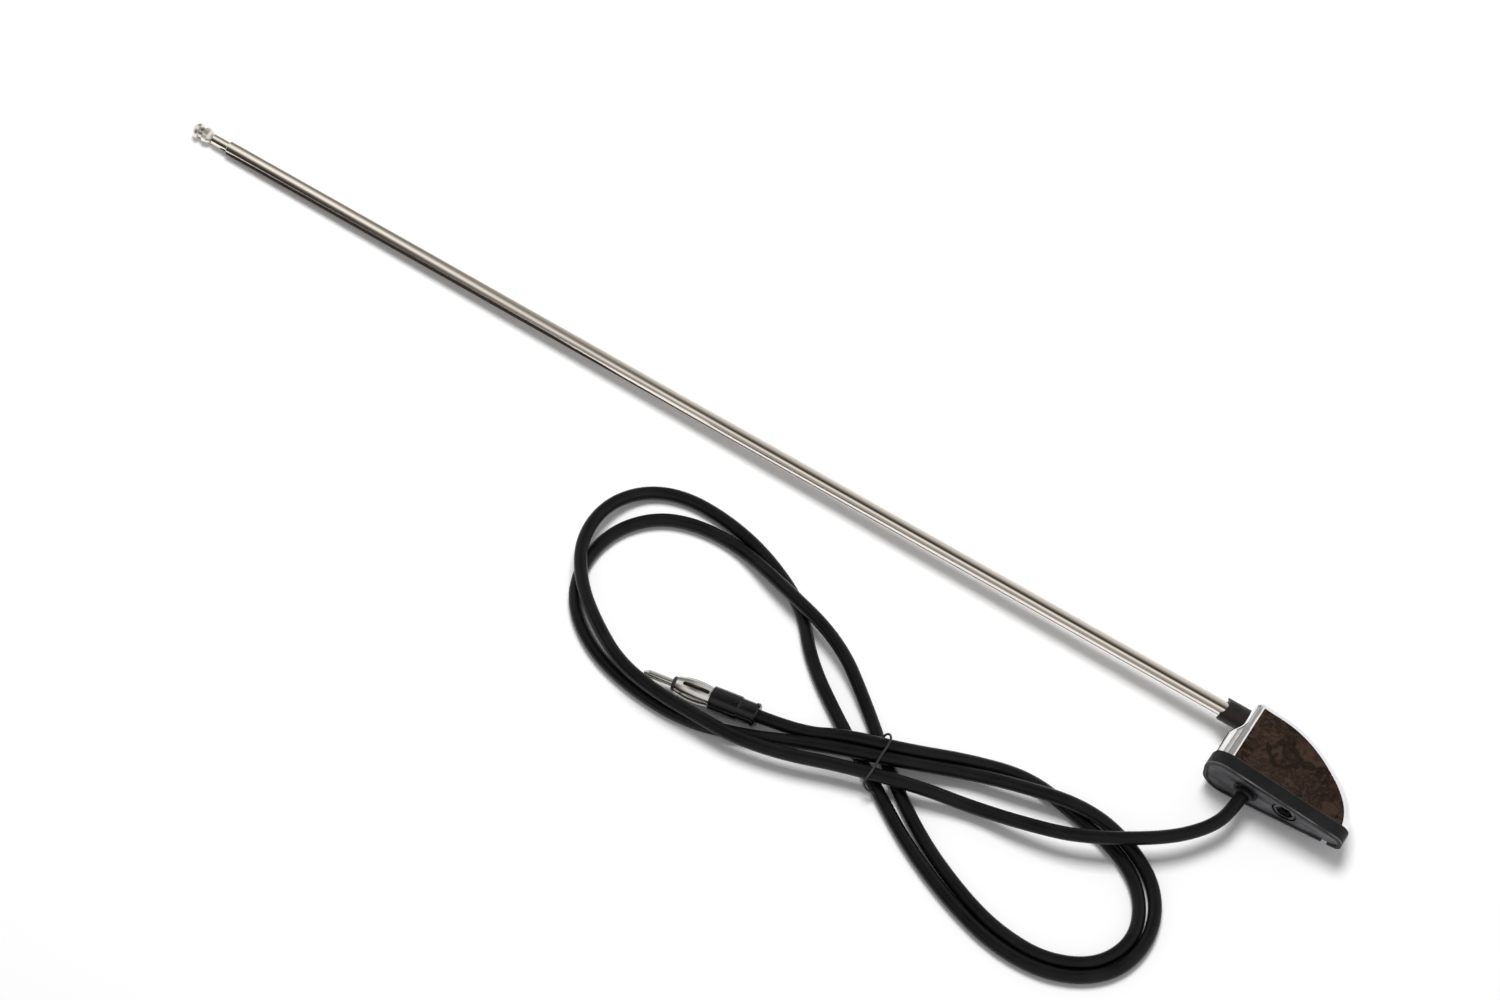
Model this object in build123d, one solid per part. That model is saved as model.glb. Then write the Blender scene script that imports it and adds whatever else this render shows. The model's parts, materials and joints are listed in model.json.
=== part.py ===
from build123d import *
import math
import os

os.makedirs("parts", exist_ok=True)

# A telescopic car aerial for the side of a windscreen pillar, lying on its side with the mast pushed in.
# Millimetres. X runs from the mast's tip to the tail of the base, and Z is up.
# The mounting face is the plane Y = 0, and the base stands out of it along +Y.
# The aerial is modelled upright about its own middle plane, and LEAN then lets it down on its side,
# so that the edge of the pad and the tip knob both touch the surface below.

# Pad between the housing and the pillar, a teardrop seen along Y
PAD_NOSE_X = -28.0
PAD_TAIL_X = 28.0
PAD_NOSE_HALF = 10.7
PAD_TAIL_HALF = 4.3
PAD_NOSE_R = 8.0
PAD_TAIL_R = 3.6
PAD_THICK = 6.0
PAD_RIM = 1.4
PAD_RECESS = 0.6
PAD_EDGE_R = 0.8
NOTCH_X = 21.5
NOTCH_LENGTH = 2.2
NOTCH_DEPTH = 1.2

# Chrome housing, a flat-sided wedge on the pad
HOUSING_TOP = 31.0
HOUSING_LEDGE = 0.9
HOUSING_DRAFT = 1.5
HOUSING_EDGE_R = 2.9
HOUSING_REACH = 0.9
CORNER_ANGLE = 12.0
TOUCH = 0.01
LEAST_R = 0.3
LEAST_TOP_R = 0.05
LEAST_FLAT = 0.05
HOUSING_WALL = 1.8
BROW_X = -23.9
BROW_DROP = 10.5
BROW_R = 3.2
CHIN_X = -27.0
CHIN_Y = 14.0
BACK_X = -13.0
SHOULDER_X = 13.0
SHOULDER_DROP = 8.0
SHOULDER_OUTWARD = (0.6, 0.8)
HEEL_X = 27.2
HEEL_RUN = (0.2, -1.0)

# Cuts run this far past the face they go through
PAST = 1.0

# Mast
MAST_DROP = 6.4
FIT = 0.05
MIDDLE_D = 4.3
ROD_D = 2.5
TUBE_WALL = 0.4
GUIDE_WALL = 0.35
MOUTH_LENGTH = 2.5
MOUTH_EASE = 0.35
MAST_INNER_X = -8.0
MIDDLE_SHOWS = 7.9
TRAVEL = 400.0
TUBE_SPARE = 51.15
STOP_GAP = 0.3
GUIDE_LENGTH = 14.0
GUIDE_TAIL = 1.0
GUIDE_EASE = 0.15
GUIDE_SLIT = 0.6
GUIDE_BAND = 2.0
KNOB_D = 6.4
KNOB_LENGTH = 8.6
KNOB_GAP = 0.6
KNOB_FLAT_D = 2.2
KNOB_DOME = 2.0
KNOB_BULGE = (0.35, 0.8)
KNOB_RIM = 0.9
KNOB_GROOVE = 1.6
KNOB_GROOVE_D = 4.6
KNOB_FLARE = 0.45
KNOB_BACK_D = 5.8
KNOB_END_D = 4.0
KNOB_END = 1.2
KNOB_HOLE_D = 1.4
KNOB_SOCKET = 3.0

# Collar round the foot of the mast
COLLAR_WALL = 1.5
COLLAR_SHOWS = 10.4
COLLAR_INSIDE = 6.0
COLLAR_SPIGOT_WALL = 0.75
COLLAR_FLANGE_RIM = 1.25
COLLAR_FLANGE = 1.2
MOUTH_DEPTH = 2.2

# Carrier that insulates the mast from the housing
CARRIER_HALF = 5.2
CARRIER_DROP = 7.6
CARRIER_BACK_X = -6.2
LEG_BACK_X = -17.5
LEG_WALL = 1.6
SEAT = 0.15

# Foot of the mast, its solder tag and the lead to it
FOOT_HEAD = 2.0
FOOT_STUB = 8.0
FOOT_PIN_D = 2.4
FOOT_PIN = 4.0
TAG_THICK = 0.5
TAG_D = 4.6
TAG_WIDTH = 2.6
TAG_REACH = 10.4
TAG_CORNER = 0.8
LEAD_D = 1.4
LEAD_DROP = 9.0
LEAD_BEND = 2.6

# Screw boss in the underside
BOSS_X = 4.5
BOSS_D = 8.6
BOSS_HOLE_D = 9.8
BOSS_END_Y = 0.9
BOSS_BORE_D = 3.5
BOSS_BORE = 13.2
BOSS_HEX = 6.2
BOSS_HEX_DEPTH = 1.2

# Cable and its grommet
CABLE_D = 5.0
GROMMET_D = 8.0
GROMMET_FLANGE_D = 9.6
GROMMET_NECK_D = 7.4
GROMMET_LIP = 0.6
GROMMET_PROUD = 1.8
EARTH_D = 8.4
EARTH_WIDTH = 4.0
EARTH_THICK = 0.5

# Plug, along its own X axis from the pin's point to the end ring
PIN_D = 3.0
PIN_SHOWS = 11.5
PIN_POINT = 2.0
PIN_POINT_D = 1.0
PIN_GRIP = 2.5
DISC_D = 5.6
DISC_SHOWS = 1.6
DISC_EASE = 0.4
SPIGOT = 1.2
HUB_D = 4.2
SHELL_LENGTH = 17.6
SHELL_NOSE_D = 6.6
SHELL_BELLY_D = 8.8
SHELL_NECK_D = 7.8
SHELL_WALL = 0.6
SHELL_RISE = 0.28
SHELL_FALL = -0.1
LEAVES = 6
SLOT = 1.5
SLOT_START = 2.6
SLOT_END = 13.0
SLOT_TO_NECK = 0.8
SOCKET = 4.0
BOOT_D = 9.4
BOOT_BODY = 11.0
BOOT_NECK_D = 8.4
BOOT_NECK = 6.0
BOOT_EASE = 0.45
BOOT_STEP = 0.8
RING_D = 9.2
RING_LENGTH = 1.6
RING_EASE = 0.55
CRIMP_D = 6.6
CRIMP_LENGTH = 7.0
CRIMP_SOCKET = 3.0

# Thin tie round the cable where its turns cross
TIE_D = 1.0
TIE_R = 1.3

# The cable's route, from the plug's end ring to the inside of the base. The surface below is at Z = -11.
# It makes two turns of a figure of eight, and lies 2.5 above the surface except where it crosses itself.
ROUTE = [
    (-175, -68, -6.3), (-158, -65, -6.3), (-143.7, -58.5, -2.7), (-121, -51, -2.7), (-102, -40, -7.2),
    (-80, -32.3, -8.5), (-56, -30, -8.5), (-35, -32.5, -8.5), (-19, -43.8, -8.5), (-12.5, -63, -8.5),
    (-16, -83, -8.5), (-32.2, -95.7, -8.5), (-54, -98.2, -8.5), (-76.9, -93.2, -8.5), (-99.8, -84, -8.5),
    (-120.7, -70, -8.5), (-142, -55.4, -8.5), (-164, -38.5, -8.5), (-186.5, -23.5, -8.5),
    (-208.2, -14.5, -8.5), (-230.6, -13.3, -8.5), (-249.2, -17.8, -8.5), (-262, -30.6, -8.5),
    (-265.7, -48, -8.5), (-260.5, -64.5, -8.5), (-244.8, -77.4, -8.5), (-223, -84.3, -8.5),
    (-198, -85.8, -8.5), (-176, -78.5, -8.5), (-158.3, -71.2, -5), (-141.4, -64.6, -2.7),
    (-119.3, -56.3, -2.7), (-100.2, -45.8, -7), (-82.1, -38.6, -8.5), (-59, -35.7, -8.5),
    (-39.8, -39, -8.5), (-25.6, -48.6, -8.5), (-18.6, -65, -8.5), (-23.6, -81.9, -8.5), (-39, -91.4, -8.5),
    (-57, -91.2, -8.5), (-72.9, -86.8, -8.5), (-93, -78.3, -8.5), (-113.3, -65, -8.5),
    (-134.2, -47.3, -8.5), (-155.4, -32.3, -8.5), (-177.6, -21.1, -8.5), (-200.4, -11, -8.5),
    (-223, -5.7, -8.5), (-245.5, -4.8, -8.5), (-262, -12.4, -8), (-271, -27, -4.5), (-270.2, -43.5, -2.7),
    (-259.8, -57, -2.7), (-245.6, -67, -2.7), (-229, -76.5, -1.9), (-211, -80.5, -1.9), (-194, -81.5, -2.7),
    (-177, -82, -2.7), (-158, -78, -2.7), (-139, -70.4, -2.7), (-111, -61.7, -2.7), (-92, -55.8, -6.8),
    (-71, -51.4, -6.8), (-51, -45.8, -2.7), (-26, -31.5, -2.7), (-15, -18.5, -1.4), (-11, -8, -0.2),
    (-11, 7.5, -0.2),
]

# The tie's wire goes over the three upper turns and back below them, between the two lower turns.
TIE_ROUTE = [
    (-128.5, -45.5, -1.5), (-128, -48.5, 0.7), (-124, -70.5, 0.7), (-118.5, -73, -2.5),
    (-115.5, -67.5, -6.0), (-135.5, -52.8, -6.0), (-137, -49, -3), (-130.5, -45, -1.5),
]

# Heights that follow from the top of the housing
BROW_Y = HOUSING_TOP - BROW_DROP
SHOULDER = (SHOULDER_X, HOUSING_TOP - SHOULDER_DROP)
MAST_Y = HOUSING_TOP - MAST_DROP
CARRIER_LOW_Y = MAST_Y - CARRIER_DROP
LEAD_Y = MAST_Y - LEAD_DROP

# Diameters that follow from what slides or sits inside
OUTER_NECK = MIDDLE_D + 2 * FIT
OUTER_BORE = MIDDLE_D + 2 * (GUIDE_WALL + FIT)
OUTER_D = OUTER_BORE + 2 * TUBE_WALL
MIDDLE_NECK = ROD_D + 2 * FIT
MIDDLE_BORE = MIDDLE_D - 2 * TUBE_WALL
COLLAR_D = OUTER_D + 2 * COLLAR_WALL
COLLAR_SPIGOT_D = OUTER_D + 2 * COLLAR_SPIGOT_WALL
COLLAR_FLANGE_D = COLLAR_D + 2 * COLLAR_FLANGE_RIM


def slide_length(neck, bore):
    """The length from a section's tip to the inner end of the next one, which stops at the rolled mouth."""
    return MOUTH_LENGTH + (bore - neck) / 2 + STOP_GAP + TRAVEL + GUIDE_LENGTH + GUIDE_TAIL


# Ends of the mast's sections, from the foot out to the tip
MIDDLE_INNER_X = MAST_INNER_X - FOOT_STUB - TUBE_SPARE
OUTER_TIP_X = MIDDLE_INNER_X - slide_length(OUTER_NECK, OUTER_BORE)
MIDDLE_TIP_X = OUTER_TIP_X - MIDDLE_SHOWS
ROD_INNER_X = MIDDLE_TIP_X + slide_length(MIDDLE_NECK, MIDDLE_BORE)


def lean_angle():
    """The angle in degrees at which the pad's nose and the knob reach equally far down."""
    knob_front = OUTER_TIP_X - MIDDLE_SHOWS - KNOB_GAP - KNOB_LENGTH
    arm = PAD_NOSE_X + PAD_NOSE_R - (knob_front + KNOB_DOME)
    drop = PAD_NOSE_HALF - KNOB_D / 2
    return math.degrees(math.atan2(drop, arm))


LEAN = lean_angle()
EXIT = Vector(*ROUTE[-1]).rotate(Axis.Y, LEAN)


def laid(piece):
    """The piece turned from the aerial's own middle plane to where it lies."""
    return Rotation(0, -LEAN, 0) * piece


def level(y, x=0.0, z=0.0):
    """A plane at height y above the mounting face, facing +Y, with its origin at (x, z)."""
    return Plane(origin=(x, y, z), x_dir=(1, 0, 0), z_dir=(0, 1, 0))


def post(diameter, low, high, x=0.0, z=0.0):
    """A round post along Y."""
    return extrude(level(low, x, z) * Circle(diameter / 2), high - low)


def rod(diameter, start, end, y=MAST_Y):
    """A round bar along X."""
    section = Plane(origin=(start, y, 0), x_dir=(0, 1, 0), z_dir=(1, 0, 0)) * Circle(diameter / 2)
    return extrude(section, end - start)


def block(x0, x1, y0, y1, half):
    """A box between two X and two Y values, and half to each side of the middle plane."""
    centre = Pos((x0 + x1) / 2, (y0 + y1) / 2, 0)
    return centre * Box(x1 - x0, y1 - y0, 2 * half)


def turned(points, y=0.0):
    """The solid turned about the X axis from (x, radius) points, lifted to height y."""
    return Pos(0, y, 0) * revolve(make_face(Polyline(*points, close=True)), Axis.X)


def teardrop(inset=0.0, reach=0.0, least_r=LEAST_R):
    """The pad's outline seen along Y, drawn in all round by inset, with its ends moved out by reach."""
    circles = []
    for end_x, half, radius, side in (
        (PAD_NOSE_X, PAD_NOSE_HALF, PAD_NOSE_R, 1),
        (PAD_TAIL_X, PAD_TAIL_HALF, PAD_TAIL_R, -1),
    ):
        radius_left = max(radius - inset, least_r)
        x = end_x + side * (inset + radius_left - reach)
        z = max(half - inset - radius_left, LEAST_FLAT)
        circles.append((Pos(x, z) * Circle(radius_left)).edge())
        circles.append((Pos(x, -z) * Circle(radius_left)).edge())
    return make_hull(circles)


def side_outline(inset, low):
    """The housing seen from the side, drawn in by inset and cut off at height low."""
    top = HOUSING_TOP - inset
    brow = BROW_X + inset
    chin = CHIN_X + inset
    corner = max(BROW_R - inset, LEAST_R)
    shoulder = (SHOULDER[0] - inset * SHOULDER_OUTWARD[0], SHOULDER[1] - inset * SHOULDER_OUTWARD[1])
    heel = (HEEL_X - inset, low)
    chin_top = (chin, CHIN_Y)
    brow_low = (brow, BROW_Y + inset)
    front = [
        Line((chin, low), chin_top),
        Spline(chin_top, brow_low, tangents=[(0, 1), (0, 1)]),
        Line(brow_low, (brow, top - corner)),
        RadiusArc((brow, top - corner), (brow + corner, top), corner),
        Line((brow + corner, top), (BACK_X, top)),
    ]
    back = Spline((BACK_X, top), shoulder, heel, tangents=[(1, 0), HEEL_RUN])
    return make_face(Curve() + front + [back, Line(heel, (chin, low))])


def housing_form(inset, low):
    """The wedge: what the side outline and the drafted teardrop have in common."""
    side = extrude(Pos(0, 0, -PAD_NOSE_HALF) * side_outline(inset, low), 2 * PAD_NOSE_HALF)
    height = HOUSING_TOP + PAST - low
    least_r = LEAST_TOP_R + height * math.tan(math.radians(HOUSING_DRAFT))
    outline = level(low) * teardrop(HOUSING_LEDGE + inset, HOUSING_REACH, least_r)
    return side & extrude(outline, height, taper=HOUSING_DRAFT)


def sharp_edges(form, low):
    """The edges above the cut at height low where two faces meet at a real corner."""
    chosen = []
    for edge in form.edges():
        beside = [face for face in form.faces() if any(edge.is_same(side) for side in face.edges())]
        at_bottom = max(abs(edge.position_at(end).Y - low) for end in (0, 1)) < TOUCH
        if at_bottom or len(beside) != 2:
            continue
        middle = edge.position_at(0.5)
        if beside[0].normal_at(middle).get_angle(beside[1].normal_at(middle)) > CORNER_ANGLE:
            chosen.append(edge)
    return chosen


def chrome_housing():
    form = housing_form(0.0, PAD_THICK)
    rounded = fillet(sharp_edges(form, PAD_THICK), HOUSING_EDGE_R)
    cavity = housing_form(HOUSING_WALL, PAD_THICK - PAST)
    boss = post(BOSS_D, PAD_THICK, HOUSING_TOP, BOSS_X) & rounded
    shell = (rounded - cavity) + boss + post(BOSS_D, BOSS_END_Y, PAD_THICK + PAST, BOSS_X)
    shell -= rod(COLLAR_D + 2 * FIT, CHIN_X - PAST, BROW_X + HOUSING_WALL + PAST)
    shell -= post(BOSS_BORE_D, BOSS_END_Y - PAST, BOSS_END_Y + BOSS_HEX_DEPTH + BOSS_BORE, BOSS_X)
    hexagon = level(BOSS_END_Y - PAST, BOSS_X) * RegularPolygon(BOSS_HEX / 2, 6, major_radius=False)
    return shell - extrude(hexagon, BOSS_HEX_DEPTH + PAST)


def inside_housing():
    """The room inside the housing, less a seat all round."""
    return housing_form(HOUSING_WALL + SEAT, PAD_THICK)


def base_pad():
    body = extrude(level(0) * teardrop(), PAD_THICK)
    body = fillet(body.edges().group_by(Axis.Y)[-1], PAD_EDGE_R)
    body -= extrude(level(-PAST) * teardrop(PAD_RIM), PAST + PAD_RECESS)
    body -= post(BOSS_HOLE_D, -PAST, PAD_THICK + PAST, BOSS_X)
    notch = block(NOTCH_X - NOTCH_LENGTH / 2, NOTCH_X + NOTCH_LENGTH / 2, -PAST, NOTCH_DEPTH, PAD_NOSE_HALF)
    notch -= extrude(level(-PAST) * teardrop(PAD_RIM), PAST + NOTCH_DEPTH)
    body -= split(notch, bisect_by=Plane.XY, keep=Keep.BOTTOM)
    return body - post(GROMMET_D + 2 * FIT, -PAST, PAD_THICK + PAST, EXIT.X, EXIT.Z)


def mast_collar():
    front = BROW_X - COLLAR_SHOWS
    back = BROW_X + COLLAR_INSIDE
    flange = BROW_X + HOUSING_WALL + SEAT
    flange_back = flange + COLLAR_FLANGE
    disc = rod(COLLAR_FLANGE_D, flange, flange_back) & inside_housing()
    collar = rod(COLLAR_D, front, flange) + disc + rod(COLLAR_SPIGOT_D, flange_back, back)
    collar -= rod(OUTER_D + 2 * FIT, front - PAST, back + PAST)
    half = COLLAR_D / 2
    radius = (half ** 2 + MOUTH_DEPTH ** 2) / (2 * MOUTH_DEPTH)
    scallop = Pos(front + MOUTH_DEPTH - radius, MAST_Y, 0) * Cylinder(radius, 2 * COLLAR_D)
    return collar - scallop


def mast_carrier():
    front = BROW_X + HOUSING_WALL + 2 * SEAT + COLLAR_FLANGE
    body = block(front, CARRIER_BACK_X, CARRIER_LOW_Y, HOUSING_TOP, CARRIER_HALF) & inside_housing()
    for side in (-1, 1):
        leg = block(front, LEG_BACK_X, PAD_THICK + SEAT, CARRIER_LOW_Y + PAST, LEG_WALL / 2)
        body += Pos(0, 0, side * (CARRIER_HALF - LEG_WALL / 2)) * leg
    body -= rod(COLLAR_SPIGOT_D + 2 * FIT, front - PAST, BROW_X + COLLAR_INSIDE + SEAT)
    return body - rod(OUTER_D + 2 * FIT, front - PAST, CARRIER_BACK_X + PAST)


def mast_tube(diameter, neck, tip_x, inner_x):
    """A thin tube with its mouth rolled in to the neck's diameter at the tip end."""
    outer = diameter / 2
    inner = outer - TUBE_WALL
    lip = neck / 2
    return turned(
        [
            (tip_x, lip), (tip_x, outer - MOUTH_EASE), (tip_x + MOUTH_EASE, outer), (inner_x, outer),
            (inner_x, inner), (tip_x + MOUTH_LENGTH + (inner - lip), inner), (tip_x + MOUTH_LENGTH, lip),
        ],
        MAST_Y,
    )


def guide(bore, outside, inner_x):
    """A spring sleeve on the inner end of a sliding section, slit into four fingers between two bands."""
    start = inner_x - GUIDE_LENGTH
    low = outside / 2 - GUIDE_EASE
    sleeve = turned(
        [
            (start, bore / 2), (start, low), (start + GUIDE_EASE, outside / 2),
            (inner_x - GUIDE_EASE, outside / 2), (inner_x, low), (inner_x, bore / 2),
        ]
    )
    slit = Pos(inner_x - GUIDE_LENGTH / 2, 0, 0) * Box(GUIDE_LENGTH - 2 * GUIDE_BAND, GUIDE_SLIT, outside)
    sleeve -= [slit, Rotation(90, 0, 0) * slit]
    return Pos(0, MAST_Y, 0) * sleeve


def mast_foot():
    """The plug in the tube's inner end, with a head behind the tube and a pin for the tag."""
    head = rod(OUTER_D, MAST_INNER_X, MAST_INNER_X + FOOT_HEAD)
    stub = rod(OUTER_BORE - 2 * FIT, MAST_INNER_X - FOOT_STUB, MAST_INNER_X)
    return head + stub + rod(FOOT_PIN_D, MAST_INNER_X, MAST_INNER_X + FOOT_HEAD + FOOT_PIN)


TAG_X = MAST_INNER_X + FOOT_HEAD + SEAT


def solder_tag():
    ring = rod(TAG_D, TAG_X, TAG_X + TAG_THICK)
    tongue = block(TAG_X, TAG_X + TAG_THICK, MAST_Y - TAG_REACH, MAST_Y, TAG_WIDTH / 2)
    tag = fillet((ring + tongue).edges().filter_by(Axis.X).group_by(Axis.Y)[0], TAG_CORNER)
    return tag - rod(FOOT_PIN_D + 2 * FIT, TAG_X - PAST, TAG_X + TAG_THICK + PAST)


def inner_lead():
    """The cable's bared core, from the cable's end up and across to the tag's tongue."""
    path = FilletPolyline(EXIT, (EXIT.X, LEAD_Y, 0), (TAG_X, LEAD_Y, 0), radius=LEAD_BEND)
    section = Plane(origin=path @ 0, z_dir=path % 0) * Circle(LEAD_D / 2)
    return sweep(section, path)


def tip_knob():
    """A round-nosed knob with a groove behind its nose flange and a cross hole in the groove."""
    back = MIDDLE_TIP_X - KNOB_GAP
    front = back - KNOB_LENGTH
    r = KNOB_D / 2
    groove = front + KNOB_DOME + KNOB_RIM + KNOB_FLARE
    rear = groove + KNOB_GROOVE
    bulge = (front + KNOB_BULGE[0] * KNOB_DOME, KNOB_BULGE[1] * r)
    dome = ThreePointArc((front, KNOB_FLAT_D / 2), bulge, (front + KNOB_DOME, r))
    rest = Polyline(
        (front + KNOB_DOME, r), (groove - KNOB_FLARE, r), (groove, KNOB_GROOVE_D / 2),
        (rear, KNOB_GROOVE_D / 2), (rear + KNOB_FLARE, r), (back - KNOB_END, KNOB_BACK_D / 2),
        (back, KNOB_END_D / 2), (back, 0), (front, 0), (front, KNOB_FLAT_D / 2),
    )
    knob = revolve(make_face(Curve() + [dome, rest]), Axis.X)
    knob -= Pos((groove + rear) / 2, 0, 0) * Cylinder(KNOB_HOLE_D / 2, 2 * KNOB_D)
    knob -= rod(ROD_D, back - KNOB_SOCKET, back + PAST, 0)
    return Pos(0, MAST_Y, 0) * knob


def inner_rod():
    return rod(ROD_D, MIDDLE_TIP_X - KNOB_GAP - KNOB_SOCKET, ROD_INNER_X)


def cable_grommet():
    """A rubber bush through the pad, flanged inside the recess, with a round-lipped neck on the cable."""
    flange = GROMMET_FLANGE_D / 2
    neck = GROMMET_NECK_D / 2
    body = GROMMET_D / 2
    bore = CABLE_D / 2 + FIT
    half = Polyline(
        (bore, -GROMMET_PROUD), (neck - GROMMET_LIP, -GROMMET_PROUD), (neck, GROMMET_LIP - GROMMET_PROUD),
        (neck, 0), (flange, 0), (flange, PAD_RECESS - FIT), (body, PAD_RECESS - FIT), (body, PAD_THICK),
        (bore, PAD_THICK), close=True,
    )
    bush = revolve(make_face(half), Axis.Y)
    return Pos(EXIT.X, 0, EXIT.Z) * bush


def earth_tag():
    """A flat ring on the cable's braid with a tongue that lies against the screw boss."""
    low = PAD_THICK + SEAT
    high = low + EARTH_THICK
    ring = post(EARTH_D, low, high, EXIT.X, EXIT.Z)
    tongue = block(EXIT.X, BOSS_X - BOSS_D / 2 - FIT, low, high, EARTH_WIDTH / 2)
    return ring + tongue - post(CABLE_D + 2 * FIT, low - PAST, high + PAST, EXIT.X, EXIT.Z)


def arc_radii(points):
    """Each corner's arc: 0.45 of the shorter run over the tangent of half the turn."""
    radii = []
    for before, corner, after in zip(points, points[1:], points[2:]):
        run_in = corner - before
        run_out = after - corner
        turn = run_in.get_angle(run_out)
        shorter = min(run_in.length, run_out.length)
        radii.append(0.45 * shorter / math.tan(math.radians(turn) / 2))
    return radii


def cable():
    points = [Vector(*point) for point in ROUTE]
    radii = arc_radii(points)
    path = FilletPolyline(*points, radius=radii)
    section = Plane(origin=path @ 0, z_dir=path % 0) * Circle(CABLE_D / 2)
    tube = sweep(section, path)
    ideal = math.pi * CABLE_D ** 2 / 4 * path.length
    print("cable length %.1f, smallest radius %.1f" % (path.length, min(radii)))
    print("cable radii", " ".join("%.0f" % min(radius, 9999) for radius in radii))
    print("cable volume %.1f against %.1f" % (tube.volume, ideal))
    return tube


def cable_tie():
    points = [Vector(*point) for point in TIE_ROUTE]
    path = FilletPolyline(*points, radius=TIE_R)
    section = Plane(origin=path @ 0, z_dir=path % 0) * Circle(TIE_D / 2)
    return sweep(section, path)


# Places along the plug's own axis, counted back from the end ring's face at X = 0
RING_X = -RING_LENGTH
BOOT_X = RING_X - BOOT_NECK - BOOT_BODY
SHELL_X = BOOT_X + SOCKET - SHELL_LENGTH
DISC_X = SHELL_X - DISC_SHOWS
PIN_X = DISC_X - PIN_SHOWS


def plug_end_ring():
    r = RING_D / 2
    return turned([(RING_X, 0), (RING_X, r), (-RING_EASE, r), (0, r - RING_EASE), (0, 0)])


def plug_boot():
    r = BOOT_D / 2
    neck = BOOT_NECK_D / 2
    step = BOOT_X + BOOT_BODY
    bore = SHELL_NECK_D / 2 + FIT
    crimp = CRIMP_D / 2 + FIT
    socket_end = BOOT_X + SOCKET + SEAT
    return turned(
        [
            (BOOT_X, bore), (BOOT_X, r - BOOT_EASE), (BOOT_X + BOOT_EASE, r), (step, r),
            (step + BOOT_STEP, neck), (RING_X, neck), (RING_X, 0), (socket_end + CRIMP_LENGTH + SEAT, 0),
            (socket_end + CRIMP_LENGTH + SEAT, crimp), (socket_end, crimp), (socket_end, bore),
        ]
    )


def plug_crimp():
    """The sleeve that clamps the braid, held in the boot behind the shell."""
    start = BOOT_X + SOCKET + SEAT
    sleeve = rod(CRIMP_D, start, start + CRIMP_LENGTH, 0)
    return sleeve - rod(PIN_D, start - PAST, start + CRIMP_SOCKET, 0)


def plug_shell():
    """A spring shell of bulged leaves between a closed nose ring and the neck in the boot."""
    nose = SHELL_X
    neck = SHELL_X + SHELL_LENGTH
    belly = SHELL_X + (SLOT_START + SLOT_END) / 2
    bend = SHELL_X + SLOT_END + SLOT_TO_NECK
    faces = []
    for inset in (0.0, SHELL_WALL):
        start = (nose, SHELL_NOSE_D / 2 - inset)
        middle = (belly, SHELL_BELLY_D / 2 - inset)
        after = (bend, SHELL_NECK_D / 2 - inset)
        end = (neck, SHELL_NECK_D / 2 - inset)
        curve = Spline(start, middle, after, tangents=[(1, SHELL_RISE), (1, SHELL_FALL)])
        faces.append((start, end, Curve() + [curve, Line(after, end)]))
    (start, end, outside), (start_in, end_in, inside) = faces
    wall = make_face(outside + inside + Line(start, start_in) + Line(end, end_in))
    shell = revolve(wall, Axis.X)
    slot = extrude(Plane.XY * Pos(belly, 0) * SlotOverall(SLOT_END - SLOT_START, SLOT), SHELL_BELLY_D)
    for index in range(LEAVES):
        shell -= Rotation(360 * index / LEAVES, 0, 0) * slot
    return shell


def plug_insulator():
    """The black nose disc and the sleeve behind it that holds the pin."""
    disc = DISC_D / 2
    spigot = SHELL_NOSE_D / 2 - SHELL_WALL - FIT
    return turned(
        [
            (DISC_X, PIN_D / 2 + FIT), (DISC_X, disc - DISC_EASE), (DISC_X + DISC_EASE, disc),
            (SHELL_X, disc), (SHELL_X, spigot), (SHELL_X + SPIGOT, spigot), (SHELL_X + SPIGOT, HUB_D / 2),
            (BOOT_X + SOCKET - SEAT, HUB_D / 2), (BOOT_X + SOCKET - SEAT, PIN_D / 2 + FIT),
        ]
    )


def plug_pin():
    r = PIN_D / 2
    back = BOOT_X + SOCKET + SEAT + PIN_GRIP
    return turned([(PIN_X, 0), (PIN_X, PIN_POINT_D / 2), (PIN_X + PIN_POINT, r), (back, r), (back, 0)])


def plugged(piece):
    """A plug piece moved to the cable's first end, in line with the cable there."""
    end = Vector(*ROUTE[0])
    run = Vector(*ROUTE[1]) - end
    turn = math.degrees(math.atan2(run.Y, run.X))
    return Pos(end.X, end.Y, end.Z) * Rotation(0, 0, turn) * piece


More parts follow.
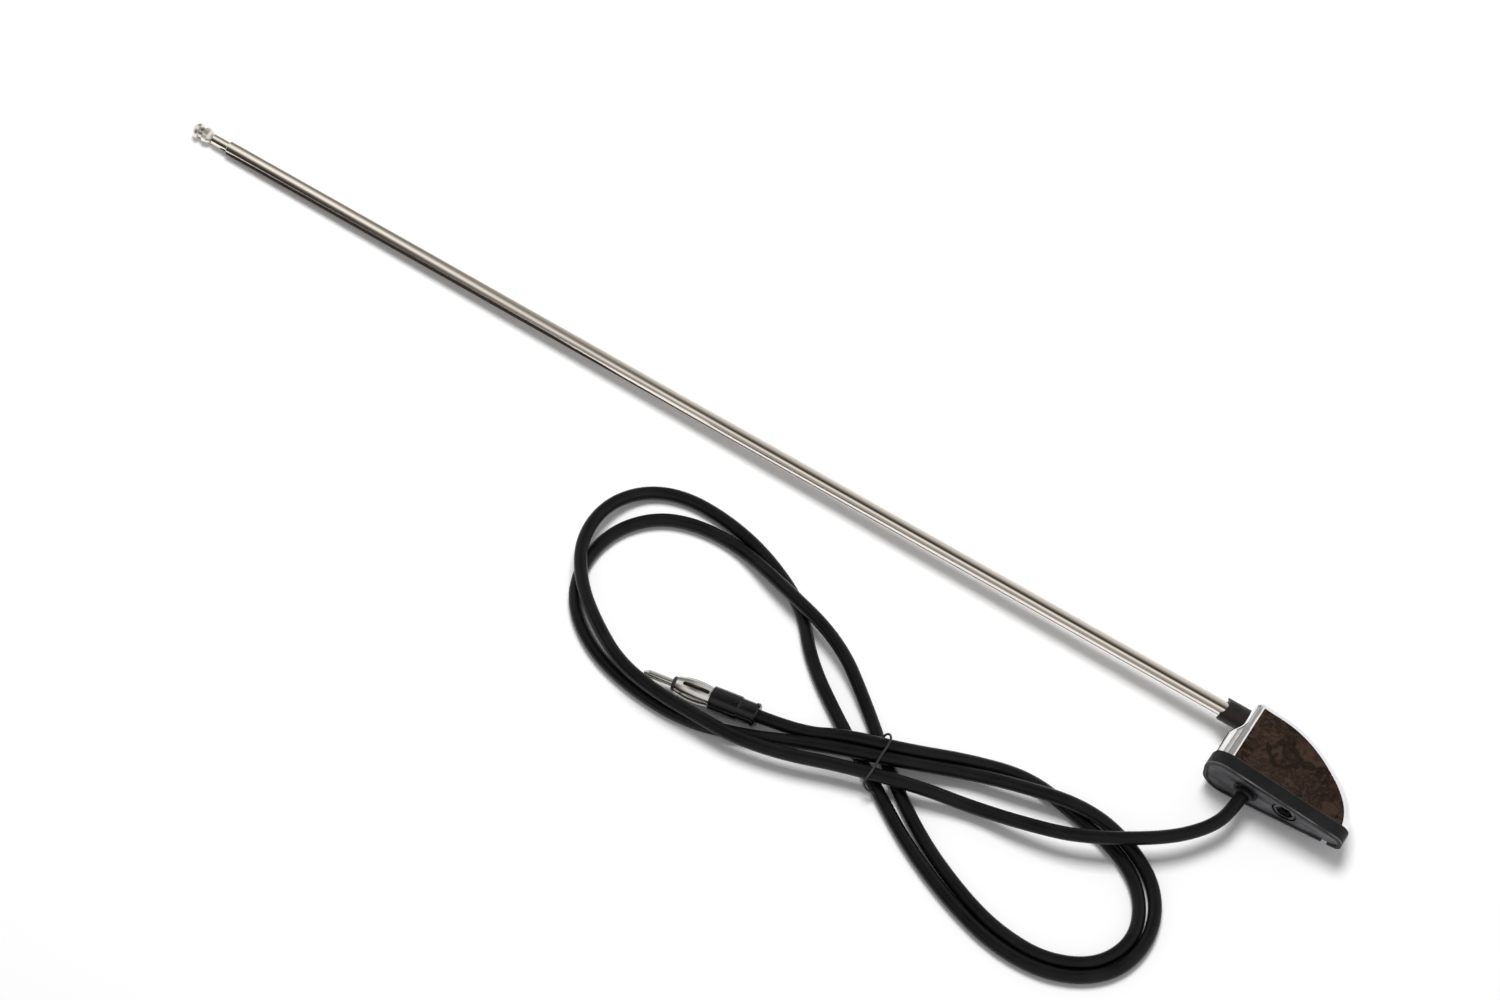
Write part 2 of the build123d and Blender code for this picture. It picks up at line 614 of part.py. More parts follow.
def build():
    outer = mast_tube(OUTER_D, OUTER_NECK, OUTER_TIP_X, MAST_INNER_X)
    middle = mast_tube(MIDDLE_D, MIDDLE_NECK, MIDDLE_TIP_X, MIDDLE_INNER_X)
    aerial = {
        "chrome_housing": chrome_housing(),
        "base_pad": base_pad(),
        "mast_collar": mast_collar(),
        "mast_carrier": mast_carrier(),
        "outer_tube": outer,
        "mast_foot": mast_foot(),
        "solder_tag": solder_tag(),
        "inner_lead": inner_lead(),
        "cable_grommet": cable_grommet(),
        "earth_tag": earth_tag(),
        "middle_tube": middle,
        "middle_guide": guide(MIDDLE_D, OUTER_BORE - 2 * FIT, MIDDLE_INNER_X - GUIDE_TAIL),
        "inner_rod": inner_rod(),
        "rod_guide": guide(ROD_D, MIDDLE_BORE - 2 * FIT, ROD_INNER_X - GUIDE_TAIL),
        "tip_knob": tip_knob(),
    }
    plug = {
        "plug_end_ring": plug_end_ring(),
        "plug_boot": plug_boot(),
        "plug_crimp": plug_crimp(),
        "plug_shell": plug_shell(),
        "plug_insulator": plug_insulator(),
        "plug_pin": plug_pin(),
    }
    pieces = {name: laid(piece) for name, piece in aerial.items()}
    pieces.update({name: plugged(piece) for name, piece in plug.items()})
    pieces["cable"] = cable()
    pieces["cable_tie"] = cable_tie()
    return pieces


for name, piece in build().items():
    export_step(piece, "parts/%s.step" % name)
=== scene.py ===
import json
import math

import bpy
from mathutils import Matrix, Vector


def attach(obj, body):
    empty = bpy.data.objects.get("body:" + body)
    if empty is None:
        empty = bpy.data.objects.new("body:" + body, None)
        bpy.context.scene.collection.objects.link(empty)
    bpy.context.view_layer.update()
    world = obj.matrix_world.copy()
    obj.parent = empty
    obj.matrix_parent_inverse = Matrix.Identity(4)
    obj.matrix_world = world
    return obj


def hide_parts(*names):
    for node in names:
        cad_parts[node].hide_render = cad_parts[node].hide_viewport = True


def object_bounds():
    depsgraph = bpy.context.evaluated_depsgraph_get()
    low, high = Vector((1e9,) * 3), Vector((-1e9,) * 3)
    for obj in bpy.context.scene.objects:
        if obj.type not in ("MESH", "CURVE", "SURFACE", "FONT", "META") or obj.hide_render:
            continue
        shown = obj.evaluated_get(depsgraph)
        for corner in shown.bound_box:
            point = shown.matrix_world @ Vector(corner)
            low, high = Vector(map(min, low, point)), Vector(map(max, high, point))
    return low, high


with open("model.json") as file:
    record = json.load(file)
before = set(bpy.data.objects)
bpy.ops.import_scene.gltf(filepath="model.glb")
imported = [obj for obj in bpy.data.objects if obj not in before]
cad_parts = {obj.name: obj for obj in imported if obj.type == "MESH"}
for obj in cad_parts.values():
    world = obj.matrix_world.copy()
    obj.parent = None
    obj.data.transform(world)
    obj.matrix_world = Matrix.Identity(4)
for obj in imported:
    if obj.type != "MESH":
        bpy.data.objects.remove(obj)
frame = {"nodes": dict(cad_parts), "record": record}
cad_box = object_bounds()

# Metres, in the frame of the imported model: X from the mast's tip to the tail of the base, Z up.

# Camera, at the photograph's angle
CAMERA_AZIMUTH = 33.13
CAMERA_ELEVATION = 62.36
CAMERA_DISTANCE = 1.354
CAMERA_TARGET = (-0.22645, 0.00556, -0.008)
CAMERA_LENS = 86.4
SENSOR_WIDTH = 36.0

# Cable, from the plug's end ring to the inside of the base
CABLE_DIAMETER = 0.005
ROUTE_MM = [
    (-175, -68, -6.3), (-158, -65, -6.3), (-143.7, -58.5, -2.7), (-121, -51, -2.7), (-101.7, -40.6, -7.2),
    (-79.2, -33.6, -8.5), (-57.7, -37.7, -8.5), (-38, -41.4, -8.5), (-23.5, -50.8, -8.5),
    (-16.4, -66.4, -8.5), (-22.4, -82.1, -8.5), (-39.4, -90.9, -8.5), (-59.4, -90.6, -8.5),
    (-77.4, -85.6, -8.5), (-99.4, -76, -8.5), (-121.4, -61.4, -8.5), (-143.6, -42.6, -8.5),
    (-165.7, -27.3, -3.3), (-196.9, -19.4, -3.3), (-217.6, -13, -8.5), (-237.1, -13.6, -8.5),
    (-252.3, -19.9, -8.5), (-262.5, -33.3, -8.5), (-264.6, -50.3, -8.5), (-258.7, -65.8, -8.5),
    (-243, -77.5, -8.5), (-221.7, -83.1, -8.5), (-197.3, -83.6, -8.5), (-175.8, -76.5, -8.5),
    (-158.5, -69.9, -5), (-142.1, -63.7, -2.7), (-120.3, -55.9, -2.7), (-101.2, -46.3, -6.2),
    (-82.6, -41.1, -3.3), (-55.8, -34.3, -3.3), (-34.3, -37.2, -7.8), (-18.1, -47.9, -8.5),
    (-11.6, -65.3, -8.5), (-16.5, -83.3, -8.5), (-34.1, -94.8, -8.5), (-56.8, -96.4, -8.5),
    (-80.2, -90.2, -8.5), (-103.7, -80.2, -8.5), (-125.8, -66.8, -8.5), (-148.4, -53.5, -8.5),
    (-171.5, -38, -8.5), (-185.4, -21.4, -8.5), (-207.1, -10.9, -8.5), (-227.9, -6.2, -8.5),
    (-248.6, -6.3, -8.5), (-263.3, -14.1, -8), (-270.1, -29.1, -4.5), (-268.2, -46.4, -2.7),
    (-257.9, -60.4, -2.7), (-244.2, -70.5, -2.7), (-228.2, -79.2, -1.9), (-210.6, -81.8, -1.9),
    (-193.8, -81.4, -2.7), (-177, -81.1, -2.7), (-158, -76.8, -2.7), (-139, -69.4, -2.7),
    (-111, -61.1, -2.7), (-92, -56, -6.8), (-71, -52.7, -2.2), (-51.3, -47.1, 0), (-26.6, -31.8, 0.3),
    (-15, -18.5, -1.4), (-11, -8, -0.2), (-11, 7.5, -0.2),
]

# Tie, from between the turns, over the three upper ones and down again
TIE_DIAMETER = 0.0009
TIE_MM = [
    (-131.8, -52.6, -4.9), (-131.7, -50.6, -2.2), (-129.5, -49.9, -0.2), (-127.7, -52.6, 0.4), (-127.7, -60.1, 0.5),
    (-127.2, -66.6, 0.4), (-127.8, -70.2, -0.6), (-127.5, -71.4, -3.2), (-125.3, -71.2, -6), (-121.9, -69.5, -8.2),
]

# Floor and light
FLOOR_SIZE = 6.0
FLOOR_WHITE = (0.97, 0.97, 0.97)
FLOOR_LIFT = 0.02
SKY_STRENGTH = 0.38
KEY_STRENGTH = 19.0
KEY_SIZE = 0.6
KEY_PLACE = (-0.42, 0.42, 1.45)

# Studio tent over the floor, which only reflections see: a half round along X with dark gaps between its panels.
# Each stop is (angle in degrees from +Y up towards +Z, brightness, warmth).
TENT_RADIUS = 2.0
TENT_X = (-3.0, 2.0)
TENT_SIDES = 64
TENT = [
    (-10, 0.85, 0.0), (20, 0.78, 0.0), (40, 0.66, 0.1), (54, 0.48, 0.2), (67, 0.28, 0.4), (82, 0.12, 0.5),
    (90, 0.04, 0.6), (104, 0.04, 0.6), (112, 0.35, 0.3), (124, 0.98, 0.1), (138, 0.88, 0.1), (150, 0.42, 0.2),
    (166, 0.36, 0.2), (180, 0.50, 0.1), (230, 0.10, 0.4),
]
TIP_TENT = [
    (-10, 0.05, 0.5), (28, 0.08, 0.5), (46, 0.20, 0.4), (78, 0.30, 0.3), (92, 0.50, 0.2), (104, 0.92, 0.1),
    (124, 1.20, 0.0), (139, 1.00, 0.1), (150, 0.55, 0.2), (162, 0.20, 0.5), (174, 0.06, 0.6), (230, 0.03, 0.6),
]
TENT_TWIST = 42.0
TWIST_FROM_X = -0.85
TWIST_TO_X = -1.45
TIP_X = (-1.35, -0.85)

# Painted shade: a dark sheet on the floor right under the mast, which only reflections see, stands in for the
# mast's contact shadow and gives a dark line along its lower edge: (x, reach on the -Y side) in metres
SHADE_CARD_LEVEL = 0.04
SHADE_CARD_Y = 0.0246
SHADE_CARD_PAST = 0.005
SHADE_CARD = [(-0.030, 0.007), (-0.250, 0.007), (-0.300, 0.012), (-0.330, 0.035), (-0.370, 0.120), (-0.420, 0.200), (-0.490, 0.300)]

# Dark room that the flat side of the housing mirrors, and a bright panel beside it for the rounded edges
ROOM_X = (0.13, 0.47)
ROOM_ANGLES = (46.0, 76.0)
ROOM_EDGE = 0.03
PANEL_X = -0.10


class Shader:
    """A node material with one Principled shader, and short calls that add texture to it."""

    def __init__(self, name, colour, roughness, metallic=0.0, **sockets):
        self.material = bpy.data.materials.new(name)
        self.material.use_nodes = True
        self.nodes = self.material.node_tree.nodes
        self.links = self.material.node_tree.links
        self.surface = self.nodes["Principled BSDF"]
        self.surface.inputs["Base Color"].default_value = (*colour, 1.0)
        self.surface.inputs["Roughness"].default_value = roughness
        self.surface.inputs["Metallic"].default_value = metallic
        for socket, value in sockets.items():
            self.surface.inputs[socket.replace("_", " ")].default_value = value

    def noise(self, scale, detail=4.0, stretch=(1.0, 1.0, 1.0)):
        """Noise in the object's own space; scale is in cells per metre."""
        place = self.nodes.new("ShaderNodeTexCoord")
        mapping = self.nodes.new("ShaderNodeMapping")
        mapping.inputs["Scale"].default_value = stretch
        noise = self.nodes.new("ShaderNodeTexNoise")
        noise.inputs["Scale"].default_value = scale
        noise.inputs["Detail"].default_value = detail
        self.links.new(place.outputs["Object"], mapping.inputs["Vector"])
        self.links.new(mapping.outputs["Vector"], noise.inputs["Vector"])
        return noise.outputs["Fac"]

    def ramp(self, factor, stops):
        """A colour ramp with (position, colour) stops."""
        ramp = self.nodes.new("ShaderNodeValToRGB")
        elements = ramp.color_ramp.elements
        while len(elements) < len(stops):
            elements.new(0.5)
        for element, (position, colour) in zip(elements, stops):
            element.position = position
            element.color = (*colour, 1.0)
        self.links.new(factor, ramp.inputs["Fac"])
        return ramp.outputs["Color"]

    def below(self, height, blend):
        """1 under the given height over the base's underside, in metres, and 0 over it."""
        place = self.nodes.new("ShaderNodeTexCoord")
        parts = self.nodes.new("ShaderNodeSeparateXYZ")
        span = self.nodes.new("ShaderNodeMapRange")
        for name, number in (("From Min", height), ("From Max", height + blend), ("To Min", 1.0), ("To Max", 0.0)):
            span.inputs[name].default_value = number
        self.links.new(place.outputs["Object"], parts.inputs["Vector"])
        self.links.new(parts.outputs["Y"], span.inputs["Value"])
        return span.outputs["Result"]

    def mix(self, factor, first, second):
        """Blends two colours, each a socket or a plain colour."""
        node = self.nodes.new("ShaderNodeMix")
        node.data_type = "RGBA"
        self.links.new(factor, node.inputs["Factor"])
        for socket, value in ((node.inputs[6], first), (node.inputs[7], second)):
            if isinstance(value, tuple):
                socket.default_value = (*value, 1.0)
            else:
                self.links.new(value, socket)
        return node.outputs[2]

    def colours(self, factor, stops):
        self.links.new(self.ramp(factor, stops), self.surface.inputs["Base Color"])

    def roughness(self, factor, low, high):
        span = self.nodes.new("ShaderNodeMapRange")
        span.inputs["To Min"].default_value = low
        span.inputs["To Max"].default_value = high
        self.links.new(factor, span.inputs["Value"])
        self.links.new(span.outputs["Result"], self.surface.inputs["Roughness"])

    def bump(self, factor, height, strength=1.0):
        """Bump of the given height in metres."""
        bump = self.nodes.new("ShaderNodeBump")
        bump.inputs["Strength"].default_value = strength
        bump.inputs["Distance"].default_value = height
        self.links.new(factor, bump.inputs["Height"])
        previous = self.surface.inputs["Normal"]
        if previous.is_linked:
            self.links.new(previous.links[0].from_socket, bump.inputs["Normal"])
        self.links.new(bump.outputs["Normal"], self.surface.inputs["Normal"])


def chrome():
    """Polished chrome on a casting: nearly a mirror, with a faint orange peel and rub marks, and painted shade that
    darkens it within 2.4 mm of the base's underside.
    """
    shader = Shader("chrome", (0.84, 0.84, 0.85), 0.04, metallic=1.0)
    bright = shader.ramp(shader.noise(60.0), [(0.35, (0.80, 0.80, 0.81)), (0.7, (0.88, 0.88, 0.89))])
    # Painted shade: chrome within 2.4 mm of the base's underside, on the screw boss ring and in its bore, is
    # painted dark.
    shaded_underside = shader.mix(shader.below(0.0024, 0.0004), bright, (0.10, 0.10, 0.105))
    shader.links.new(shaded_underside, shader.surface.inputs["Base Color"])
    shader.roughness(shader.noise(900.0, stretch=(1.0, 0.15, 1.0)), 0.01, 0.05)
    shader.bump(shader.noise(220.0, detail=1.0), 0.00002)
    return shader.material


def nickel(name, colour, low, high):
    """Bright plate over a drawn tube, with the draw lines along X."""
    shader = Shader(name, colour, low, metallic=1.0)
    light = tuple(min(1.0, value * 1.06) for value in colour)
    dark = tuple(value * 0.93 for value in colour)
    shader.colours(shader.noise(300.0, stretch=(0.08, 1.0, 1.0)), [(0.3, dark), (0.7, light)])
    shader.roughness(shader.noise(1500.0, stretch=(0.02, 1.0, 1.0)), low, high)
    shader.bump(shader.noise(2500.0, detail=2.0, stretch=(0.02, 1.0, 1.0)), 0.000003)
    return shader.material


def pad_rubber():
    """Moulded black rubber with a fine matt grain, and a painted sheen: a lighter grey band on the underside's
    recess floor.
    """
    shader = Shader("pad_rubber", (0.01, 0.01, 0.01), 0.5, Specular_IOR_Level=0.22)
    plain = shader.ramp(shader.noise(120.0), [(0.4, (0.004, 0.004, 0.0045)), (0.75, (0.010, 0.010, 0.011))])
    # Painted sheen: between about 0.1 and 0.9 mm over the underside, on the recess floor, the rubber is painted
    # lighter grey for a grazing reflection.
    painted_sheen = shader.ramp(
        shader.noise(70.0, stretch=(1.0, 1.0, 3.0)), [(0.35, (0.02, 0.02, 0.022)), (0.65, (0.15, 0.15, 0.16))]
    )
    recess = shader.mix(shader.below(0.0007, 0.0002), plain, painted_sheen)
    shader.links.new(shader.mix(shader.below(0.0001, 0.0002), recess, plain), shader.surface.inputs["Base Color"])
    shader.roughness(shader.noise(400.0), 0.38, 0.55)
    shader.bump(shader.noise(4000.0, detail=3.0), 0.00003)
    return shader.material


def collar_plastic():
    """Black moulded plastic, a little brown where it is worn."""
    shader = Shader("collar_plastic", (0.015, 0.013, 0.012), 0.42, Specular_IOR_Level=0.25)
    shader.colours(shader.noise(160.0), [(0.4, (0.006, 0.005, 0.005)), (0.8, (0.020, 0.015, 0.013))])
    shader.roughness(shader.noise(500.0), 0.32, 0.5)
    shader.bump(shader.noise(2600.0, detail=3.0), 0.00004)
    return shader.material


def cable_jacket():
    """Soft black vinyl with a satin skin and shallow waves from the extruder."""
    shader = Shader("cable_jacket", (0.005, 0.005, 0.0055), 0.32, Specular_IOR_Level=0.15)
    shader.colours(shader.noise(90.0), [(0.35, (0.003, 0.003, 0.0033)), (0.75, (0.007, 0.007, 0.0075))])
    shader.roughness(shader.noise(260.0), 0.24, 0.40)
    shader.bump(shader.noise(300.0, detail=2.0), 0.00006)
    return shader.material


def gloss_plastic():
    """Shiny black plastic of the plug's boot."""
    shader = Shader("boot_plastic", (0.006, 0.006, 0.0065), 0.2, Specular_IOR_Level=0.3)
    shader.colours(shader.noise(140.0), [(0.4, (0.004, 0.004, 0.0045)), (0.8, (0.010, 0.010, 0.011))])
    shader.roughness(shader.noise(350.0), 0.16, 0.28)
    shader.bump(shader.noise(500.0, detail=2.0), 0.00003)
    return shader.material


def plain_plastic(name, dark, light):
    """Moulded plastic with a faint grain."""
    shader = Shader(name, dark, 0.45)
    shader.colours(shader.noise(200.0), [(0.35, dark), (0.75, light)])
    shader.bump(shader.noise(2000.0), 0.00003)
    return shader.material


def bare_metal(name, dark, light):
    """Turned or stamped metal with a fine grain and darker patches."""
    shader = Shader(name, light, 0.3, metallic=1.0)
    shader.colours(shader.noise(180.0), [(0.3, dark), (0.7, light)])
    shader.roughness(shader.noise(700.0), 0.22, 0.42)
    shader.bump(shader.noise(3000.0), 0.00001)
    return shader.material


def dress(materials):
    """Gives each CAD node that stays the material of its slot in the record."""
    for part in frame["record"]["subparts"]:
        node = frame["nodes"][part["node"]]
        node.material_slots[0].material = materials[part["material_slot"]]


def make_cable(material, tie):
    """The cable as one smooth line through the route's points, from the base out to the plug."""
    curve = bpy.data.curves.new("coax_lead", "CURVE")
    curve.dimensions = "3D"
    curve.resolution_u = 10
    curve.bevel_depth = CABLE_DIAMETER / 2
    curve.bevel_resolution = 7
    curve.use_fill_caps = True
    spline = curve.splines.new("NURBS")
    spline.points.add(len(ROUTE_MM) - 1)
    for point, place in zip(spline.points, reversed(ROUTE_MM)):
        point.co = (*(value / 1000 for value in place), 1.0)
    spline.order_u = 3
    spline.use_endpoint_u = True
    curve.materials.append(material)
    lead = bpy.data.objects.new("coax_lead", curve)
    bpy.context.scene.collection.objects.link(lead)
    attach(lead, "base")
    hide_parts("cable")
    return lead


def make_tie(material):
    """The thin wire that holds the turns together where they cross."""
    curve = bpy.data.curves.new("wire_tie", "CURVE")
    curve.dimensions = "3D"
    curve.resolution_u = 8
    curve.bevel_depth = TIE_DIAMETER / 2
    curve.bevel_resolution = 4
    curve.use_fill_caps = True
    spline = curve.splines.new("NURBS")
    spline.points.add(len(TIE_MM) - 1)
    for point, place in zip(spline.points, TIE_MM):
        point.co = (*(value / 1000 for value in place), 1.0)
    spline.order_u = 3
    spline.use_endpoint_u = True
    curve.materials.append(material)
    tie = bpy.data.objects.new("wire_tie", curve)
    bpy.context.scene.collection.objects.link(tie)
    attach(tie, "base")
    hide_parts("cable_tie")
    return tie


def make_floor():
    """A white floor that takes the object's shadow."""
    mesh = bpy.data.meshes.new("floor")
    half = FLOOR_SIZE / 2
    corners = [(-half, -half), (half, -half), (half, half), (-half, half)]
    mesh.from_pydata([(x, y, cad_box[0].z) for x, y in corners], [], [(0, 1, 2, 3)])
    material = bpy.data.materials.new("floor_white")
    material.use_nodes = True
    nodes = material.node_tree.nodes
    links = material.node_tree.links
    surface = nodes["Principled BSDF"]
    surface.inputs["Base Color"].default_value = (*FLOOR_WHITE, 1.0)
    surface.inputs["Roughness"].default_value = 0.9
    surface.inputs["Specular IOR Level"].default_value = 0.0
    surface.inputs["Emission Color"].default_value = (1.0, 1.0, 1.0, 1.0)
    path = nodes.new("ShaderNodeLightPath")
    seen = nodes.new("ShaderNodeMath")
    seen.operation = "MAXIMUM"
    through = nodes.new("ShaderNodeMath")
    through.operation = "MAXIMUM"
    lift = nodes.new("ShaderNodeMath")
    lift.operation = "MULTIPLY"
    lift.inputs[1].default_value = FLOOR_LIFT
    links.new(path.outputs["Is Camera Ray"], seen.inputs[0])
    links.new(path.outputs["Is Glossy Ray"], seen.inputs[1])
    links.new(seen.outputs["Value"], through.inputs[0])
    links.new(path.outputs["Is Transmission Ray"], through.inputs[1])
    links.new(through.outputs["Value"], lift.inputs[0])
    links.new(lift.outputs["Value"], surface.inputs["Emission Strength"])
    mesh.materials.append(material)
    floor = bpy.data.objects.new("floor", mesh)
    bpy.context.scene.collection.objects.link(floor)


class Graph:
    """Short calls that build a node tree."""

    def __init__(self, tree):
        self.nodes = tree.nodes
        self.links = tree.links
        self.nodes.clear()

    def math(self, operation, *values):
        node = self.nodes.new("ShaderNodeMath")
        node.operation = operation
        for socket, value in zip(node.inputs, values):
            if isinstance(value, (int, float)):
                socket.default_value = value
            else:
                self.links.new(value, socket)
        return node.outputs["Value"]

    def span(self, value, low, high, start=0.0, end=1.0):
        """Maps value from low and high to start and end, and stops there."""
        node = self.nodes.new("ShaderNodeMapRange")
        node.interpolation_type = "SMOOTHSTEP"
        for name, number in (("From Min", low), ("From Max", high), ("To Min", start), ("To Max", end)):
            node.inputs[name].default_value = number
        self.links.new(value, node.inputs["Value"])
        return node.outputs["Result"]

    def ramp(self, value, stops):
        """A colour ramp over (position, colour) stops."""
        node = self.nodes.new("ShaderNodeValToRGB")
        elements = node.color_ramp.elements
        while len(elements) < len(stops):
            elements.new(0.5)
        for element, (position, colour) in zip(elements, stops):
            element.position = position
            element.color = (*colour, 1.0)
        self.links.new(value, node.inputs["Fac"])
        return node.outputs["Color"]

    def blend(self, factor, first, second):
        node = self.nodes.new("ShaderNodeMix")
        node.data_type = "RGBA"
        self.links.new(factor, node.inputs["Factor"])
        self.links.new(first, node.inputs[6])
        self.links.new(second, node.inputs[7])
        return node.outputs[2]


def tent_material():
    """White panels with dark gaps along X, and a dark room above the housing's flat side."""
    material = bpy.data.materials.new("tent")
    material.use_nodes = True
    graph = Graph(material.node_tree)
    place = graph.nodes.new("ShaderNodeTexCoord")
    parts = graph.nodes.new("ShaderNodeSeparateXYZ")
    graph.links.new(place.outputs["Object"], parts.inputs["Vector"])
    angle = graph.math("DEGREES", graph.math("ARCTAN2", parts.outputs["Z"], parts.outputs["Y"]))
    along = parts.outputs["X"]
    twisted = graph.math("ADD", angle, graph.span(along, TWIST_TO_X, TWIST_FROM_X, TENT_TWIST, 0.0))
    low = TENT[0][0]
    reach = TENT[-1][0] - low
    turn = graph.math("DIVIDE", graph.math("SUBTRACT", twisted, float(low)), float(reach))

    def panels(table):
        return graph.ramp(
            turn,
            [
                ((degrees - low) / reach, (bright, bright * (1 - 0.10 * warm), bright * (1 - 0.30 * warm)))
                for degrees, bright, warm in table
            ],
        )

    strips = graph.blend(graph.span(along, TIP_X[0], TIP_X[1], 1.0, 0.0), panels(TENT), panels(TIP_TENT))
    white = graph.ramp(along, [(0.0, (0.95, 0.95, 0.95)), (1.0, (0.95, 0.95, 0.95))])
    sides = graph.blend(graph.span(along, PANEL_X - ROOM_EDGE, PANEL_X + ROOM_EDGE), strips, white)
    noise = graph.nodes.new("ShaderNodeTexNoise")
    noise.inputs["Scale"].default_value = 40.0
    noise.inputs["Detail"].default_value = 8.0
    noise.inputs["Roughness"].default_value = 0.62
    noise.inputs["Distortion"].default_value = 1.6
    graph.links.new(place.outputs["Object"], noise.inputs["Vector"])
    room = graph.ramp(
        noise.outputs["Fac"],
        [(0.34, (0.004, 0.004, 0.003)), (0.47, (0.020, 0.015, 0.012)), (0.56, (0.085, 0.052, 0.036)),
         (0.68, (0.034, 0.034, 0.024))],
    )
    inside = graph.math(
        "MULTIPLY",
        graph.math(
            "MULTIPLY",
            graph.span(along, ROOM_X[0] - ROOM_EDGE, ROOM_X[0] + ROOM_EDGE),
            graph.span(along, ROOM_X[1] - ROOM_EDGE, ROOM_X[1] + ROOM_EDGE, 1.0, 0.0),
        ),
        graph.math(
            "MULTIPLY",
            graph.span(angle, ROOM_ANGLES[0] - 1.0, ROOM_ANGLES[0] + 1.0),
            graph.span(angle, ROOM_ANGLES[1] - 1.0, ROOM_ANGLES[1] + 1.0, 1.0, 0.0),
        ),
    )
    glow = graph.nodes.new("ShaderNodeEmission")
    graph.links.new(graph.blend(inside, sides, room), glow.inputs["Color"])
    output = graph.nodes.new("ShaderNodeOutputMaterial")
    graph.links.new(glow.outputs["Emission"], output.inputs["Surface"])
    return material


def make_tent():
    points = []
    for step in range(TENT_SIDES + 1):
        turn = math.pi * step / TENT_SIDES
        for x in TENT_X:
            points.append((x, TENT_RADIUS * math.cos(turn), TENT_RADIUS * math.sin(turn)))
    faces = [(2 * step, 2 * step + 1, 2 * step + 3, 2 * step + 2) for step in range(TENT_SIDES)]
    mesh = bpy.data.meshes.new("tent")
    mesh.from_pydata(points, [], faces)
    mesh.materials.append(tent_material())
    stage_for_reflections(bpy.data.objects.new("tent", mesh))


def stage_for_reflections(thing):
    """Puts a thing in the studio that only reflections see."""
    thing.visible_camera = False
    thing.visible_diffuse = False
    thing.visible_transmission = False
    thing.visible_volume_scatter = False
    thing.visible_shadow = False
    bpy.context.scene.collection.objects.link(thing)


def make_shade_card():
    """A dark sheet right under the mast, painted shade that reflections show as a dark line along its lower edge.
    """
    points = []
    for x, reach in SHADE_CARD:
        points.append((x, SHADE_CARD_Y - reach, cad_box[0].z + 0.0001))
        points.append((x, SHADE_CARD_Y + SHADE_CARD_PAST, cad_box[0].z + 0.0001))
    faces = [(2 * step, 2 * step + 1, 2 * step + 3, 2 * step + 2) for step in range(len(SHADE_CARD) - 1)]
    mesh = bpy.data.meshes.new("shade_card")
    mesh.from_pydata(points, [], faces)
    material = bpy.data.materials.new("shade_card")
    material.use_nodes = True
    graph = Graph(material.node_tree)
    glow = graph.nodes.new("ShaderNodeEmission")
    glow.inputs["Color"].default_value = (SHADE_CARD_LEVEL, SHADE_CARD_LEVEL * 0.9, SHADE_CARD_LEVEL * 0.8, 1.0)
    output = graph.nodes.new("ShaderNodeOutputMaterial")
    graph.links.new(glow.outputs["Emission"], output.inputs["Surface"])
    mesh.materials.append(material)
    stage_for_reflections(bpy.data.objects.new("shade_card", mesh))


def make_world():
    """Even white light from all round, and a white background."""
    world = bpy.data.worlds.new("studio")
    bpy.context.scene.world = world
    world.use_nodes = True
    graph = Graph(world.node_tree)
    path = graph.nodes.new("ShaderNodeLightPath")
    seen = graph.math("MAXIMUM", path.outputs["Is Camera Ray"], path.outputs["Is Glossy Ray"])
    through = graph.math("MAXIMUM", seen, path.outputs["Is Transmission Ray"])
    plain = graph.nodes.new("ShaderNodeBackground")
    graph.links.new(graph.span(through, 0.0, 1.0, SKY_STRENGTH, 1.0), plain.inputs["Strength"])
    plain.inputs["Color"].default_value = (1.0, 1.0, 1.0, 1.0)
    output = graph.nodes.new("ShaderNodeOutputWorld")
    graph.links.new(plain.outputs["Background"], output.inputs["Surface"])


def make_key():
    """One large soft lamp above the mast's far side."""
    lamp = bpy.data.lights.new("key", "AREA")
    lamp.energy = KEY_STRENGTH
    lamp.size = KEY_SIZE
    key = bpy.data.objects.new("key", lamp)
    key.location = KEY_PLACE
    aim = Vector(CAMERA_TARGET) - Vector(KEY_PLACE)
    key.rotation_euler = aim.to_track_quat("-Z", "Y").to_euler()
    key.visible_glossy = False
    bpy.context.scene.collection.objects.link(key)


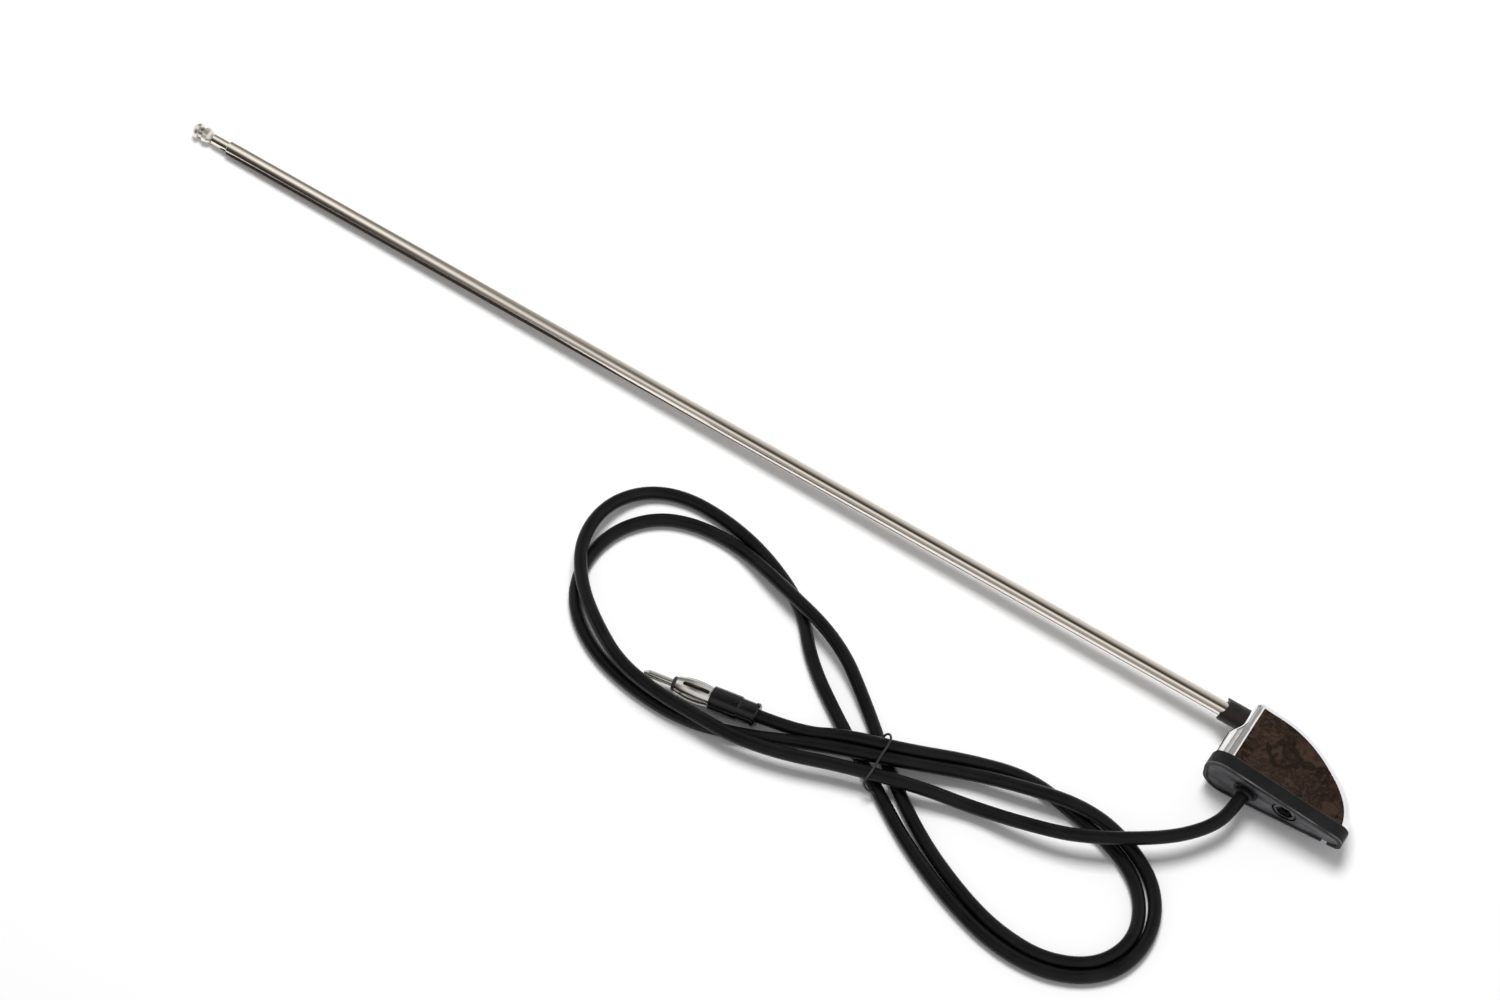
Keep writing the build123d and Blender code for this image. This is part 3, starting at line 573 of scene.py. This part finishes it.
def make_camera():
    azimuth = math.radians(CAMERA_AZIMUTH)
    elevation = math.radians(CAMERA_ELEVATION)
    back = Vector(
        (
            math.sin(azimuth) * math.cos(elevation),
            -math.cos(azimuth) * math.cos(elevation),
            math.sin(elevation),
        )
    )
    data = bpy.data.cameras.new("camera")
    data.lens = CAMERA_LENS
    data.sensor_width = SENSOR_WIDTH
    camera = bpy.data.objects.new("camera", data)
    camera.location = Vector(CAMERA_TARGET) + back * CAMERA_DISTANCE
    camera.rotation_euler = (-back).to_track_quat("-Z", "Y").to_euler()
    bpy.context.scene.collection.objects.link(camera)
    bpy.context.scene.camera = camera


def main():
    plug_nickel = nickel("plug_nickel", (0.66, 0.64, 0.61), 0.16, 0.32)
    materials = {
        "chrome": chrome(),
        "pad_rubber": pad_rubber(),
        "collar_plastic": collar_plastic(),
        "carrier_plastic": plain_plastic("carrier_plastic", (0.55, 0.53, 0.47), (0.66, 0.64, 0.58)),
        "mast_plating": nickel("mast_plating", (0.80, 0.74, 0.67), 0.07, 0.16),
        "foot_brass": bare_metal("foot_brass", (0.50, 0.36, 0.15), (0.75, 0.58, 0.30)),
        "tinned_copper": bare_metal("tinned_copper", (0.48, 0.44, 0.38), (0.68, 0.62, 0.54)),
        "guide_bronze": bare_metal("guide_bronze", (0.45, 0.28, 0.12), (0.68, 0.48, 0.25)),
        "knob_plating": nickel("knob_plating", (0.78, 0.74, 0.69), 0.24, 0.36),
        "cable_jacket": cable_jacket(),
        "tie_plastic": plain_plastic("tie_plastic", (0.012, 0.012, 0.012), (0.026, 0.026, 0.026)),
        "boot_plastic": gloss_plastic(),
        "plug_nickel": plug_nickel,
        "plug_disc": plain_plastic("plug_disc", (0.02, 0.02, 0.02), (0.04, 0.04, 0.04)),
    }
    dress(materials)
    make_cable(materials["cable_jacket"], make_tie(materials["tie_plastic"]))
    make_floor()
    make_tent()
    make_shade_card()
    make_world()
    make_key()
    make_camera()
    bpy.context.scene.view_settings.view_transform = "Standard"


main()
